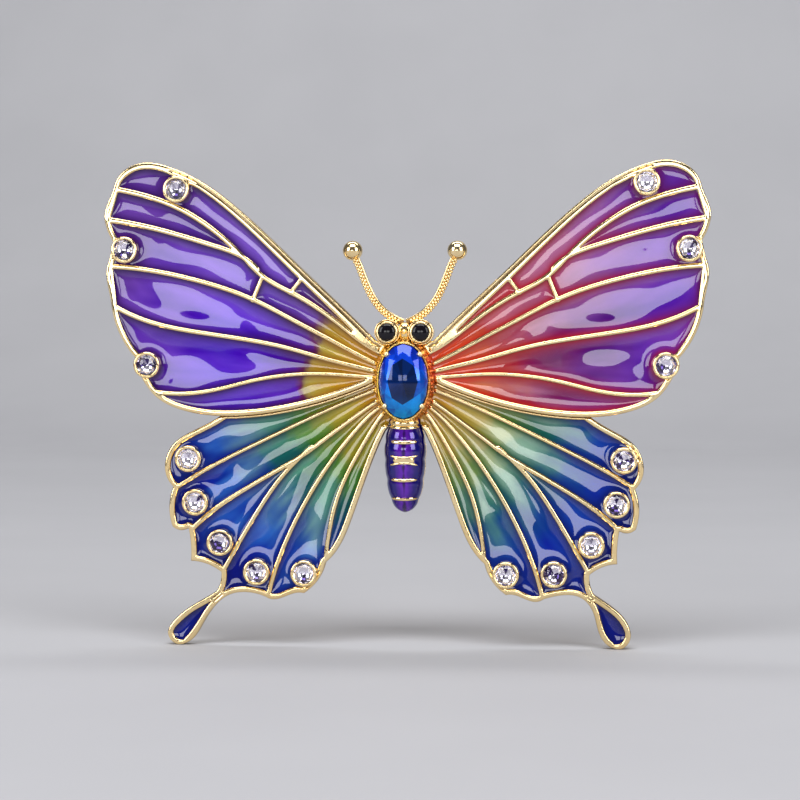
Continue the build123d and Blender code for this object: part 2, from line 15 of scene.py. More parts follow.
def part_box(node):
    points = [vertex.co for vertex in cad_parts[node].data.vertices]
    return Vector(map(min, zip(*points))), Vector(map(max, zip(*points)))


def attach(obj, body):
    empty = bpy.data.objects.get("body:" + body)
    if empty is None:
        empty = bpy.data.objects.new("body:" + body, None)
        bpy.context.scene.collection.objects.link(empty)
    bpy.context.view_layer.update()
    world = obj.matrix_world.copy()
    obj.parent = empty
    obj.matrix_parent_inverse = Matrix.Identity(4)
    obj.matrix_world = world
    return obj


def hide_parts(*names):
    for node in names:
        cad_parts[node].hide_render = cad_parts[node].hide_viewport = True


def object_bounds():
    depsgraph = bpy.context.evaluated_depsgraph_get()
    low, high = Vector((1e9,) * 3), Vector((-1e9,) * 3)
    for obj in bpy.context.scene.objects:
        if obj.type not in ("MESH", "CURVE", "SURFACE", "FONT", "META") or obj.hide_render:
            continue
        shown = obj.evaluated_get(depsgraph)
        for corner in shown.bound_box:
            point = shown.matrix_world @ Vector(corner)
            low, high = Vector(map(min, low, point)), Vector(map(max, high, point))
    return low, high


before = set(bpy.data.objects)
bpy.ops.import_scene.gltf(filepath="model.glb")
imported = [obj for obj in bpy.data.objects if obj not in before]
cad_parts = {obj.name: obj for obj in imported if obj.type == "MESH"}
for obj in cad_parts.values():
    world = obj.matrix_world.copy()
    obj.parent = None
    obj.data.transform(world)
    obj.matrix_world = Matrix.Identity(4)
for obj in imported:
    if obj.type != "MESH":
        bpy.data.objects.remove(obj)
cad_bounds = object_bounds()

MM = 0.001
SIDES = {"left": -1, "right": 1}  # which way x runs on each side
BOUNDS = np.array([list(corner) for corner in cad_bounds])
LEVEL_TOLERANCE = 0.004    # a CAD point this near a level lies on it

# Wing surfaces
RIDGE_STEP = 0.09          # spacing of the points on the gold ridges
ENAMEL_STEP = 0.16
EDGE_ROW = 0.045           # a row of points runs this far from each wall
BACK_STEP = 0.2
CORNER = math.radians(33)  # a sharper turn of a traced edge than this stays a corner
RIDGE_SINK = 0.06          # a ridge starts this far above the enamel's level
RIDGE_LIMIT = 0.22         # wide stretches of gold rise no further than this
FOOT_HEIGHT = 0.16         # a ridge is painted darker, a painted shade, up to this height
GROOVE = 0.14              # depth of the groove that follows the leading edge
GROOVE_PLACE = 0.36        # how far the groove runs from the edge
GROOVE_WIDTH = 0.08
GROOVE_RIM = 0.38          # only a rim that would rise this far has the groove
MENISCUS = 0.13            # how far the enamel climbs the walls round it
MENISCUS_REACH = 0.4       # how far from a wall the climb is felt
EDGE_REACH = 0.55          # how far the darker colour along a wall, a painted shade, reaches
WAVES = 0.035              # uneven filling of the enamel
WAVE_LENGTH = 7.0
SKIRT = 0.3                # walls go on below the enamel by this much
EDGE_ROUND = 0.15          # rounding of a casting's rear edge
BACK_HOLLOW = 0.16         # behind each cell the back is this much lower
BACK_REACH = 0.5           # the hollow deepens over this far from the cell's edge

# Stones
CRYSTAL_R = 1.0
CRYSTAL_TABLE = 0.55       # the table's share of a stone's width
OVAL_TABLE = 0.62
CROWN_SHARE = 0.33         # the crown's share of a stone's depth
GIRDLE_EDGE = 0.03         # half the thickness of a stone's girdle
BEZEL_R = 1.34
EYE_R = 0.84


# ---- meshes

def new_object(name, data):
    """An object in the scene."""
    thing = bpy.data.objects.new(name, data)
    bpy.context.scene.collection.objects.link(thing)
    return thing


class Shape:
    """Points in mm and faces, gathered into one mesh. A face may name one of the shape's materials."""

    def __init__(self):
        self.points, self.faces, self.materials, self.flat = [], [], [], []
        self.count = 0

    def add(self, points, faces, material=0, flat=False):
        self.points.append(np.asarray(points, float).reshape(-1, 3))
        self.faces += [tuple(int(i) + self.count for i in face) for face in faces]
        self.materials += [material] * len(faces)
        self.flat += [flat] * len(faces)
        self.count += len(self.points[-1])

    def make(self, name, materials, nodes, edge=None, facet_seed=None, sharp=40):
        """The object, whose edges stay sharp above an angle in degrees.

        Materials may read edge, a value for each point, and facet, a tone for each face that facet_seed
        deals out; the materials place painted light and shade with them. The first face, a stone's table, has
        the tone zero.
        """
        mesh = bpy.data.meshes.new(name)
        places = np.clip(np.concatenate(self.points) * MM, *BOUNDS)
        mesh.from_pydata(places.tolist(), [], self.faces)
        for material in materials:
            mesh.materials.append(material)
        mesh.polygons.foreach_set("material_index", self.materials)
        mesh.polygons.foreach_set("use_smooth", [not flat for flat in self.flat])
        mesh.set_sharp_from_angle(angle=math.radians(sharp))
        if edge is not None:
            values = np.zeros(self.count)
            values[:len(edge)] = edge
            mesh.attributes.new("edge", "FLOAT", "POINT").data.foreach_set("value", values)
        if facet_seed is not None:
            count = len(self.faces)
            tones = (np.random.default_rng(facet_seed).permutation(count) + 0.5) / count
            tones[0] = 0
            mesh.attributes.new("facet", "FLOAT", "FACE").data.foreach_set("value", tones)
        mesh.validate()
        piece = new_object(name, mesh)
        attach(piece, "brooch")
        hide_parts(*nodes)


def raised(flat_points, heights):
    """Points of a wing's map at their heights in front of the garment face."""
    flat_points = np.asarray(flat_points, float)
    heights = np.broadcast_to(heights, len(flat_points))
    return np.column_stack([flat_points[:, 0], -heights, flat_points[:, 1]])


def ellipse(count, wide, tall, start=0):
    """Points evenly round an ellipse, seen from its centre."""
    angles = start + np.arange(count) * 2 * math.pi / count
    return np.column_stack([wide * np.cos(angles), tall * np.sin(angles)])


def ring_faces(first, second, closed=True):
    """Quads between two rows of point numbers. They face right of the rows if second is in front."""
    ends = zip(first, np.roll(first, -1), second, np.roll(second, -1))
    quads = [(a, b, d, c) for a, b, c, d in ends]
    return quads if closed else quads[:-1]


def grid_faces(rows, columns, closed=False):
    """Quads over a grid of points that is numbered row by row."""
    numbers = np.arange(rows * columns).reshape(rows, columns)
    return [face for low, high in zip(numbers, numbers[1:]) for face in ring_faces(low, high, closed)]


def lathe(shape, x, z, profile, sides=48, stretch=(1, 1), material=0, cap=False):
    """A turned form on an axis that points forwards. The profile runs (radius, height)."""
    around = ellipse(sides, *stretch)
    rings = [raised((x, z) + radius * around, height) for radius, height in profile]
    faces = grid_faces(len(profile), sides, True)
    if cap:
        faces.append(tuple(range((len(profile) - 1) * sides, len(profile) * sides)))
    shape.add(np.concatenate(rings), faces, material)


def arc(centre, radius, start, end, count):
    """Points of a circle's arc in a profile, with angles in degrees from the direction of the radius."""
    turns = np.radians(np.linspace(start, end, count))
    return [(centre[0] + radius * math.cos(turn), centre[1] + radius * math.sin(turn)) for turn in turns]


def ball(shape, centre, radius, rings, sides):
    """A sphere round a point (x, height, z), with a tiny flat at its front pole and a tiny opening at its
    rear pole.
    """
    pole = 0.05
    turns = np.linspace(pole, math.pi - pole, rings)
    profile = [(radius * math.sin(turn), centre[1] - radius * math.cos(turn)) for turn in turns]
    lathe(shape, centre[0], centre[2], profile, sides, cap=True)


# ---- reading the CAD meshes

def read(items, field, width, kind=float):
    """A field of a mesh's items, as the rows of an array."""
    values = np.empty(len(items) * width, kind)
    items.foreach_get(field, values)
    return values.reshape(-1, width)


def mesh_points(mesh):
    """A mesh's points in mm, as (x, height, z)."""
    return read(mesh.vertices, "co", 3) / MM * (1, -1, 1)


def middle(node):
    """A node's middle as (x, z) in mm."""
    low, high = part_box(node)
    return (low.x + high.x) / 2 / MM, (low.z + high.z) / 2 / MM


def half_size(node):
    """Half a node's width and height in mm."""
    low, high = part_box(node)
    return (high.x - low.x) / 2 / MM, (high.z - low.z) / 2 / MM


def span(node):
    """How far behind and in front a node reaches, as heights in mm."""
    low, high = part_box(node)
    return -high.y / MM, -low.y / MM


def plane_loops(node, height):
    """The edges of a CAD node's flat faces at one height, as closed loops of (x, z) in mm.

    A loop runs anticlockwise round the outside of a face and clockwise round a hole.
    """
    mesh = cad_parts[node].data
    mesh.calc_loop_triangles()
    places = mesh_points(mesh)
    triangles = read(mesh.loop_triangles, "vertices", 3, int)
    triangles = triangles[(np.abs(places[triangles][:, :, 1] - height) < LEVEL_TOLERANCE).all(1)]
    keys, merged = np.unique(np.round(places[:, ::2], 3), axis=0, return_inverse=True)
    triangles = merged.ravel()[triangles]
    edges = {tuple(edge) for face in triangles for edge in zip(face, np.roll(face, -1))}
    onwards = {}
    for start, end in sorted(edges):
        if start != end and (end, start) not in edges:
            onwards.setdefault(start, []).append(end)
    loops = []
    while onwards:
        start = min(onwards)
        loop = [start]
        while loop[-1] in onwards:
            ends = onwards[loop[-1]]
            following = ends.pop()
            if not ends:
                del onwards[loop[-1]]
            if following == start:
                break
            loop.append(following)
        if len(loop) > 2:
            loops.append(keys[loop])
    loops.sort(key=lambda loop: -abs(loop_area(loop)))
    return loops if loop_area(loops[0]) > 0 else [loop[::-1] for loop in loops]


def loop_area(loop):
    """A loop's area, which is positive if it runs anticlockwise."""
    ahead = np.roll(loop, -1, 0)
    return (loop[:, 0] * ahead[:, 1] - ahead[:, 0] * loop[:, 1]).sum() / 2


def crossing(node, z):
    """Where the edges of a CAD node's mesh cross a level, as (x, height) points."""
    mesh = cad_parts[node].data
    places = mesh_points(mesh)
    edges = read(mesh.edges, "vertices", 2, int)
    starts, ends = places[edges[:, 0]], places[edges[:, 1]]
    crosses = (starts[:, 2] > z) != (ends[:, 2] > z)
    starts, ends = starts[crosses], ends[crosses]
    share = (z - starts[:, 2]) / (ends[:, 2] - starts[:, 2])
    return (starts + share[:, None] * (ends - starts))[:, :2]


# ---- wing maps

def smooth_loop(loop, step):
    """A closed loop drawn again as smooth curves between its corners, with evenly spaced points."""
    ahead, behind = np.roll(loop, -1, 0) - loop, loop - np.roll(loop, 1, 0)
    turn = np.arctan2(ahead[:, 1], ahead[:, 0]) - np.arctan2(behind[:, 1], behind[:, 0])
    turn = np.abs((turn + math.pi) % (2 * math.pi) - math.pi)
    corners = np.flatnonzero(turn > CORNER)
    if len(corners) == 0:
        corners = np.array([0])
    pieces = []
    for first, last in zip(corners, np.append(corners[1:], corners[0] + len(loop))):
        run = loop[np.arange(first, last + 1) % len(loop)]
        way = np.concatenate([[0], np.cumsum(np.hypot(*np.diff(run, axis=0).T))])
        slope = np.gradient(run, way, axis=0)
        wanted = np.linspace(0, way[-1], max(2, math.ceil(way[-1] / step)) + 1)[:-1]
        i = np.clip(np.searchsorted(way, wanted, "right") - 1, 0, len(run) - 2)
        length = (way[i + 1] - way[i])[:, None]
        t = (wanted - way[i])[:, None] / length
        pieces.append((2 * t**3 - 3 * t**2 + 1) * run[i] + (t**3 - 2 * t**2 + t) * length * slope[i]
                      + (3 * t**2 - 2 * t**3) * run[i + 1] + (t**3 - t**2) * length * slope[i + 1])
    return np.concatenate(pieces)


def inside(loops, points):
    """Which points lie between the loops, counting how many edges lie to the right of each.

    The points are taken in chunks of like level, and each chunk needs only the edges at its level.
    """
    chunk_size = 300
    starts = np.concatenate(loops)
    ends = np.concatenate([np.roll(loop, -1, 0) for loop in loops])
    result = np.zeros(len(points), bool)
    order = np.argsort(points[:, 1])
    for chunk in np.array_split(order, len(order) // chunk_size + 1):
        z = points[chunk, 1]
        near = (np.minimum(starts, ends)[:, 1] <= z.max()) & (np.maximum(starts, ends)[:, 1] >= z.min())
        a, b = starts[near], ends[near]
        crosses = (a[:, 1] > z[:, None]) != (b[:, 1] > z[:, None])
        rise = np.where(b[:, 1] == a[:, 1], 1, b[:, 1] - a[:, 1])
        x = a[:, 0] + (z[:, None] - a[:, 1]) / rise * (b[:, 0] - a[:, 0])
        result[chunk] = (crosses & (x > points[chunk, 0][:, None])).sum(1) % 2 == 1
    return result


def gap_to(walls, points):
    """How far each point of a map is from the nearest of the walls' points."""
    tree = kdtree.KDTree(len(walls))
    for number, (x, z) in enumerate(walls):
        tree.insert((x, z, 0), number)
    tree.balance()
    return np.array([tree.find((x, z, 0))[2] for x, z in points])


def inwards(loop):
    """For each point of an anticlockwise loop, the direction to its left, which is inwards."""
    ahead = np.roll(loop, -1, 0) - np.roll(loop, 1, 0)
    return np.column_stack([-ahead[:, 1], ahead[:, 0]]) / np.hypot(*ahead.T)[:, None]


def skirt_faces(loops, count):
    """For each loop, quads between its points and their copies, which are numbered from count on."""
    skirts, first = [], 0
    for loop in loops:
        tops = np.arange(first, first + len(loop))
        skirts.append(ring_faces(tops + count, tops))
        first += len(loop)
    return skirts


def fill_region(loops, step):
    """Points and triangles between closed loops. The loops' own points come first, in order.

    A row of points runs along each loop, so that a steep slope there is even.
    """
    rim = np.concatenate(loops)
    low, high = rim.min(0), rim.max(0)
    grid = []
    for number, z in enumerate(np.arange(low[1], high[1], step * math.sqrt(0.75))):
        row = np.arange(low[0] + number % 2 * step / 2, high[0], step)
        grid.append(np.column_stack([row, np.full(len(row), z)]))
    edge_start = sum(map(len, grid))
    for loop in loops:
        sideways = inwards(loop) * EDGE_ROW
        grid += [loop + sideways, loop - sideways]
    grid = np.concatenate(grid)
    least_gaps = np.where(np.arange(len(grid)) < edge_start, EDGE_ROW + 0.5 * step, 0.9 * EDGE_ROW)
    within = inside(loops, grid)
    grid, least_gaps = grid[within], least_gaps[within]
    given = np.concatenate([rim, grid[gap_to(rim, grid) > least_gaps]])
    edges, first = [], 0
    for loop in loops:
        edges += [(first + i, first + (i + 1) % len(loop)) for i in range(len(loop))]
        first += len(loop)
    vectors = [Vector(point) for point in given]
    places, _, triangles, sources, _, _ = delaunay_2d_cdt(vectors, edges, [], 0, 1e-6)
    added = [tuple(place) for place, source in zip(places, sources) if not source]
    numbers, fresh = [], len(given)
    for source in sources:
        numbers.append(min(source) if source else fresh)
        fresh += not source
    points = np.concatenate([given, np.reshape(added, (-1, 2))])
    triangles = np.array(numbers)[np.array(triangles)]
    return points, triangles[inside(loops, points[triangles].mean(1))]


def solve_map(points, triangles, edge_count, source, leak, edge_value):
    """Solves div grad u = leak u - source on a map by conjugate gradients, with u held at its edge points."""
    most_steps, tolerance, tiny = 600, 1e-12, 1e-9
    corner = points[triangles]
    sides = np.roll(corner, -1, 1) - np.roll(corner, -2, 1)
    area = 0.5 * np.abs(sides[:, 0, 0] * sides[:, 1, 1] - sides[:, 0, 1] * sides[:, 1, 0])
    area = np.maximum(area, tiny)
    size = len(points)
    first, second, weight = [], [], []
    for i, j in ((0, 1), (1, 2), (2, 0)):
        first += [triangles[:, i], triangles[:, j]]
        second += [triangles[:, j], triangles[:, i]]
        weight += [(sides[:, i] * sides[:, j]).sum(1) / (4 * area)] * 2
    first, second, weight = map(np.concatenate, (first, second, weight))
    mass = np.bincount(triangles.ravel(), np.repeat(area / 3, 3), size)
    diagonal = leak * mass - np.bincount(first, weight, size)
    free = (np.arange(size) >= edge_count) & (mass > 0)

    def apply(u):
        return np.where(free, diagonal * u + np.bincount(first, weight * u[second], size), 0)

    u = np.where(np.arange(size) < edge_count, edge_value, 0.0)
    residual = np.where(free, source * mass, 0) - apply(u)
    scale = np.where(free, 1 / np.maximum(diagonal, tiny), 0)
    direction = scale * residual
    energy = residual @ direction
    for _ in range(most_steps):
        image = apply(direction)
        step = energy / (direction @ image)
        u += step * direction
        residual -= step * image
        search = scale * residual
        new_energy = residual @ search
        if new_energy < tolerance * size:
            break
        direction = search + new_energy / energy * direction
        energy = new_energy
    return u


def waves(points, seed):
    """Smooth unevenness over a map, mostly between -1 and 1, from a few long sine waves."""
    chance = np.random.default_rng(seed)
    total = np.zeros(len(points))
    wave_count = 7
    for _ in range(wave_count):
        way = chance.uniform(0, 2 * math.pi)
        length = WAVE_LENGTH * chance.uniform(0.7, 1.5)
        phase = chance.uniform(0, 6.28)
        total += np.sin(points @ (math.cos(way), math.sin(way)) * 2 * math.pi / length + phase)
    return total / 3


# ---- materials

def screen_colour(red, green, blue):
    """A colour given as screen values from 0 to 255, made linear."""
    return tuple(((part / 255 + 0.055) / 1.055) ** 2.4 if part > 10 else part / 255 / 12.92
                 for part in (red, green, blue))


class Look:
    """A material and its nodes. A node's input is a value, or the output of another node."""

    def __init__(self, name, **inputs):
        self.material = bpy.data.materials.new(name)
        self.material.use_nodes = True
        self.tree = self.material.node_tree
        self.shader = self.tree.nodes["Principled BSDF"]
        self.place = self.node("TexCoord").outputs["Object"]
        self.put(self.shader, {name.replace("_", " "): value for name, value in inputs.items()})

    def put(self, node, inputs):
        for name, value in inputs.items():
            self.fill(node.inputs[name], value)

    def fill(self, socket, value):
        """Links an output to a node's input, or sets the input to a value."""
        if isinstance(value, bpy.types.NodeSocket):
            self.tree.links.new(value, socket)
        elif socket.type == "RGBA" and len(value) == 3:
            socket.default_value = (*value, 1)
        else:
            socket.default_value = value

    def node(self, kind, inputs=None, **settings):
        node = self.tree.nodes.new("ShaderNode" + kind)
        for name, value in settings.items():
            setattr(node, name, value)
        self.put(node, inputs or {})
        return node

    def done(self, inputs):
        """The material, once its shader has these inputs."""
        self.put(self.shader, inputs)
        return self.material

    def attribute(self, name):
        """A value that the mesh carries."""
        return self.node("Attribute", attribute_name=name).outputs["Fac"]

    def math(self, operation, *values):
        return self.node("Math", dict(enumerate(values)), operation=operation).outputs[0]

    def vector(self, operation, *values, output="Vector"):
        return self.node("VectorMath", dict(enumerate(values)), operation=operation).outputs[output]

    def split(self, place):
        """A place's X, Y and Z."""
        return self.node("SeparateXYZ", {"Vector": place}).outputs

    def noise(self, size, detail=2, place=None):
        """Noise with cells of a size in mm, or of a size in the place's own units."""
        scale = 1 / size if place else 1 / (size * MM)
        inputs = {"Vector": place or self.place, "Scale": scale, "Detail": detail}
        return self.node("TexNoise", inputs).outputs["Fac"]

    def ramp(self, value, stops, reach=1.0):
        """Colours along a value, from stops of (value, red, green, blue) in screen values."""
        ramp = self.node("ValToRGB", {"Fac": value if reach == 1 else self.math("DIVIDE", value, reach)})
        ramp.color_ramp.interpolation = "EASE"
        while len(ramp.color_ramp.elements) < len(stops):
            ramp.color_ramp.elements.new(0.5)
        for element, (place, *colour) in zip(ramp.color_ramp.elements, stops):
            element.position = place / reach
            element.color = (*screen_colour(*colour), 1)
        return ramp.outputs["Color"]

    def blend(self, share, first, second, kind="MIX"):
        node = self.node("Mix", data_type="RGBA", blend_type=kind)
        for socket, value in (("Factor_Float", share), ("A_Color", first), ("B_Color", second)):
            self.fill(next(s for s in node.inputs if s.identifier == socket), value)
        return next(s for s in node.outputs if s.identifier == "Result_Color")

    def range(self, value, low, high, new_low=0.0, new_high=1.0):
        return self.node("MapRange", {"Value": value, "From Min": low, "From Max": high,
                                      "To Min": new_low, "To Max": new_high}).outputs["Result"]

    def bump(self, height, distance, normal=None):
        """A normal from a height, where a height of one stands for a distance in mm."""
        inputs = {"Height": height, "Distance": distance * MM}
        if normal:
            inputs["Normal"] = normal
        return self.node("Bump", inputs).outputs["Normal"]


def gold(name, colour, shade, roughness, grain, grain_height):
    """Gold plate. The grain is the casting's fine unevenness, in mm. The feet of ridges are painted darker, a
    painted shade.
    """
    look = Look(name, Metallic=1.0)
    fine = look.noise(grain, 3)
    tone = look.range(look.noise(5, 2), 0.35, 0.65)
    # Painted shade: where the mesh's edge value is high, at the feet of ridges and in the groove, the gold
    # turns dark brown
    foot = look.attribute("edge")
    painted_shade_colour = (0.22, 0.11, 0.03)
    return look.done({
        "Base Color": look.blend(foot, look.blend(tone, shade, colour), painted_shade_colour),
        "Roughness": look.range(fine, 0.3, 0.7, roughness * 0.7, roughness * 1.4),
        "Normal": look.bump(fine, grain_height),
    })


GOLD = gold("polished_gold", (1.0, 0.80, 0.45), (0.98, 0.73, 0.36), 0.11, 0.7, 0.002)
# Dark gold that paints shade in grooves, below the saddle and in the gaps between the antennas' beads
SHADE_GOLD = gold("painted_shade_gold", (0.42, 0.25, 0.09), (0.25, 0.14, 0.05), 0.35, 0.4, 0.01)
GOLD_BACK = gold("satin_gold", (0.95, 0.70, 0.36), (0.88, 0.62, 0.30), 0.3, 0.3, 0.03)
CLEAR_COAT = {"Coat_Weight": 1.0, "Coat_Roughness": 0.015, "Coat_IOR": 1.55, "Specular_IOR_Level": 0.0}
ROOT = (0, 0, (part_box("oval_stone")[0].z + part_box("oval_stone")[1].z) / 2)


def enamel(name, pale, deep, walls, painted_sheen, lean, seed):
    """Clear glossy enamel over bright metal.

    Its colours run outwards from the wings' root, in mm: pale and deep streaks, the walls' colours along the
    ridges, which are painted shade where the enamel meets the walls, and a painted sheen, a pale painted
    reflection, towards the leading edge. Lean is how the surface slopes up the wing, which only the
    light shows.
    """
    look = Look(name, Metallic=0.12, Roughness=0.25, **CLEAR_COAT)
    colours_end = 34.0
    cloud_shift = 1.3  # clouds move the colours in and out by this much
    streaks_round, streaks_along = 9.0, 0.11
    rays_round = 70.0
    flat = look.vector("MULTIPLY", look.vector("SUBTRACT", look.place, ROOT), (1, 0, 1))
    far = look.math("DIVIDE", look.vector("LENGTH", flat, output="Value"), MM)
    parts = look.split(flat)
    turn = look.math("ARCTAN2", parts["Z"], look.math("ABSOLUTE", parts["X"]))
    streaks = look.node("CombineXYZ", {
        "X": look.math("MULTIPLY", turn, streaks_round),
        "Y": look.math("MULTIPLY", far, streaks_along),
        "Z": float(seed),
    })
    streak = look.noise(1.0, 2, streaks.outputs[0])
    cloud = look.range(look.noise(2.2, 3), 0.2, 0.8, -cloud_shift, cloud_shift)
    reach = look.math("ADD", far, cloud)
    colour = look.blend(look.range(streak, 0.36, 0.62), look.ramp(reach, deep, colours_end),
                        look.ramp(reach, pale, colours_end))
    # The painted sheen, a pale painted reflection, lies up the wing, past its root, and fades towards its tip
    upper = look.math("MULTIPLY", look.range(turn, 0.3, 0.7, 0.0, 0.42), look.range(reach, 9.0, 10.5))
    upper = look.math("MULTIPLY", upper, look.range(reach, 30.0, 21.0, 0.1, 1.0))
    colour = look.blend(upper, colour, screen_colour(*painted_sheen))
    # Painted shade: near each wall the colour turns to the darker wall colours
    wall_shade_share = look.range(look.attribute("edge"), 0.10, 0.85, 0.0, 0.9)
    colour = look.blend(wall_shade_share, colour, look.ramp(reach, walls, colours_end))
    # Fine bright rays at the root: a painted glow
    rays = look.range(look.math("SINE", look.math("MULTIPLY", turn, rays_round)), -1.0, 1.0, 0.2, 0.9)
    glow = look.math("MULTIPLY", look.range(far, 6.0, 10.0, 1.0, 0.0), rays)
    colour = look.blend(glow, colour, look.blend(1.0, colour, (1.5, 1.45, 1.2), "MULTIPLY"))
    tilt = look.math("MULTIPLY", parts["Z"], lean / MM)
    swell = look.math("ADD", tilt, look.math("MULTIPLY", look.noise(9, 1), 0.5))
    surface = look.bump(swell, 1.0)
    fine = look.bump(look.noise(0.5, 2), 0.01, surface)
    return look.done({"Base Color": colour, "Coat Normal": surface, "Normal": fine})


def glass(name, colour):
    """Cut crystal, tinted a little more in some of its facets, which paints light and shade from facet to
    facet.
    """
    look = Look(name, Transmission_Weight=1.0, IOR=1.56, Roughness=0.0)
    facet = look.attribute("facet")
    tone = look.math("ADD", facet, look.range(look.noise(0.5, 2), 0.3, 0.7, -0.1, 0.1))
    paler = tuple(1 - 0.3 * (1 - part) for part in colour)
    return look.done({"Base Color": look.blend(look.range(tone, 0.05, 0.5), colour, paler)})


def foil(name, colour, shade):
    """The mirror foil behind a cut stone, with a tone that changes from facet to facet: some facets are
    painted dark, a painted shade.
    """
    look = Look(name, Metallic=0.8)
    # Painted shade: facets with a low tone take the dark shade colour
    tint = look.blend(look.range(look.attribute("facet"), 0.2, 0.35), shade, colour)
    rough = look.range(look.noise(0.5, 1), 0.3, 0.7, 0.03, 0.09)
    return look.done({"Base Color": tint, "Roughness": rough})


CRYSTAL = glass("lilac_crystal", (0.93, 0.90, 1.0))
FOIL = foil("silver_foil", (0.98, 0.95, 1.0), (0.05, 0.03, 0.14))


def sapphire():
    """The oval stone: a navy table over dark wedges, royal blue sides and an aqua foot, with crisp facets.
    The blues are the stone's own colour; the wedges are a painted reflection of the pavilion seen through
    the table, the table and the sides are painted lighter towards the aqua foot, and each side facet mixes
    a painted-shade copy and a painted-light copy of the side colour.
    """
    look = Look("sapphire", Metallic=0.3, Roughness=0.12, Coat_Weight=1.0, Coat_Roughness=0.0,
                Coat_IOR=1.42, Coat_Tint=(0.8, 0.85, 1.0, 1), Specular_IOR_Level=0.0)
    half_height = half_size("oval_stone")[1] * MM
    wedges_per_radian = 2.55
    parts = look.split(look.vector("SUBTRACT", look.place, ROOT))
    facet = look.attribute("facet")
    up = look.range(parts["Z"], -half_height, half_height)
    turn = look.math("ARCTAN2", parts["Z"], look.math("MULTIPLY", parts["X"], 1.5))
    wedge_number = look.math("FLOOR", look.math("MULTIPLY", turn, wedges_per_radian))
    wedge = look.node("TexWhiteNoise", {"W": wedge_number}, noise_dimensions="1D").outputs["Value"]
    # Painted light: the table grows lighter towards the stone's foot
    table = look.ramp(up, [(0.15, 0, 56, 100), (0.35, 1, 22, 54), (0.55, 1, 26, 68), (0.9, 1, 26, 64)])
    # Painted reflection: some wedges of the table are lifted towards a brighter blue, as the pavilion's
    # facets show through it
    table = look.blend(look.range(wedge, 0.0, 1.0, 0.0, 0.35), table, screen_colour(4, 58, 140))
    # Painted light: the sides grow lighter, to aqua, towards the foot
    side = look.ramp(up, [(0.0, 0, 165, 215), (0.2, 4, 140, 222), (0.5, 10, 110, 225), (0.75, 8, 70, 218),
                          (1.0, 6, 44, 170)])
    # Painted shade and painted light: darker and lighter copies of the side colour, mixed facet by facet
    dim = look.blend(1.0, side, (0.22, 0.3, 0.5), "MULTIPLY")
    lit = look.blend(1.0, side, (1.5, 1.3, 1.1), "MULTIPLY")
    tone = look.math("ADD", facet, look.range(look.noise(0.7, 2), 0.3, 0.7, -0.2, 0.2))
    crown = look.math("GREATER_THAN", facet, 0.0)
    return look.done({"Base Color": look.blend(crown, table, look.blend(tone, dim, lit))})


SAPPHIRE = sapphire()


# ---- wings

def wing_frame(wing, stones):
    """One wing's casting: rounded ridges between the cells, bezels, a rounded rim and a satin back."""
    node, enamel_node = f"{wing}_frame", f"{wing}_enamel"
    back, lip = span(node)
    level = span(enamel_node)[1]
    outer = smooth_loop(plane_loops(node, back)[0], RIDGE_STEP)
    cells = [smooth_loop(loop, RIDGE_STEP) for loop in plane_loops(enamel_node, level)]
    points, triangles = fill_region([outer] + cells, RIDGE_STEP)
    edge_count = len(outer) + sum(map(len, cells))
    mound = solve_map(points, triangles, edge_count, source=1, leak=0, edge_value=0)
    groove_fade, tuck = 0.08, 0.1  # the groove starts gradually, and the gold goes in under each bezel
    full_rise = np.sqrt(2 * np.maximum(mound, 0))
    rise = full_rise / (1 + (full_rise / RIDGE_LIMIT) ** 4) ** 0.25
    beside_groove = np.exp(-((gap_to(outer, points) - GROOVE_PLACE) / GROOVE_WIDTH) ** 2)
    groove = np.clip((full_rise - GROOVE_RIM) / groove_fade, 0, 1) * beside_groove
    rise -= GROOVE * groove
    # Painted shade: the feet of the ridges and the groove get a high edge value, which the gold paints darker
    foot = np.maximum(np.clip(1 - rise / FOOT_HEIGHT, 0, 1), 0.9 * groove)
    base = level + RIDGE_SINK
    centres = points[triangles].mean(1)
    open_face = np.ones(len(triangles), bool)
    for x, z in stones:
        open_face &= np.hypot(centres[:, 0] - x, centres[:, 1] - z) > BEZEL_R - tuck
    outer_wall, *cell_walls = skirt_faces([outer] + cells, len(points))
    walls = outer_wall + [face[::-1] for wall in cell_walls for face in wall]
    low = raised(points[:edge_count], base - SKIRT)
    low[:len(outer), 1] = -(back + EDGE_ROUND)
    shape = Shape()
    shape.add(np.concatenate([raised(points, base + rise), low]), list(triangles[open_face]) + walls)
    wing_back(shape, outer, cells, back)
    for x, z in stones:
        bezel(shape, x, z, level - SKIRT, lip)
    shape.make(f"{wing}_gold", [GOLD, GOLD_BACK], [node], edge=foot, sharp=72)


def wing_back(shape, outer, cells, back):
    """A casting's rounded rear edge and its satin back, which is a little hollow behind each cell."""
    inward = inwards(outer) * EDGE_ROUND
    rings = [raised(outer + inward * (1 - math.cos(turn)), back + EDGE_ROUND * (1 - math.sin(turn)))
             for turn in np.linspace(0, math.pi / 2, 4)]
    shape.add(np.concatenate(rings), [face[::-1] for face in grid_faces(4, len(outer), True)])
    rear, triangles = fill_region([outer + inward], BACK_STEP)
    depth = np.clip(gap_to(np.concatenate(cells), rear) / BACK_REACH, 0, 1)
    hollow = np.where(inside(cells, rear), BACK_HOLLOW * depth * depth * (3 - 2 * depth), 0)
    shape.add(raised(rear, back + hollow), [face[::-1] for face in triangles], material=1)


